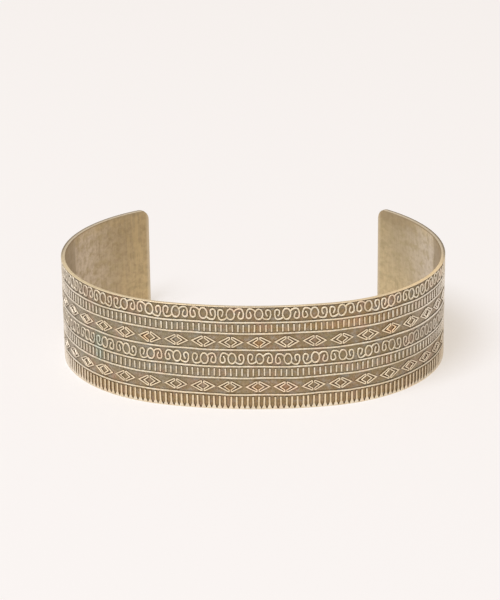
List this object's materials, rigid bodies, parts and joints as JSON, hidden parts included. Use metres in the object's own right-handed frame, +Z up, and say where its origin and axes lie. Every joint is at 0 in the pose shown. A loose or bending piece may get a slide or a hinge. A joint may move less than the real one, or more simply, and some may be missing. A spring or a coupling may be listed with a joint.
{
  "type": "cuff bangle",
  "caption": "Open oval brass cuff bangle: one bent strip with round corners and bands of raised scrolls, bars and diamonds, slipped over the wrist through the gap at the back.",
  "frame": {"origin": "on the surface that the cuff stands on, under the middle of its outline", "axes": "+Z up along the wrist, +X across the width of the oval, -Y towards the front of the ornament, +Y towards the open mouth"},
  "size_m": [0.0694, 0.052, 0.0191],
  "materials": {
    "brass": "aged brass, brown in the recesses, worn bright on the ridges and rims, brushed inside"
  },
  "bodies": {
    "root": {"cuff": "brass"}
  },
  "joints": []
}
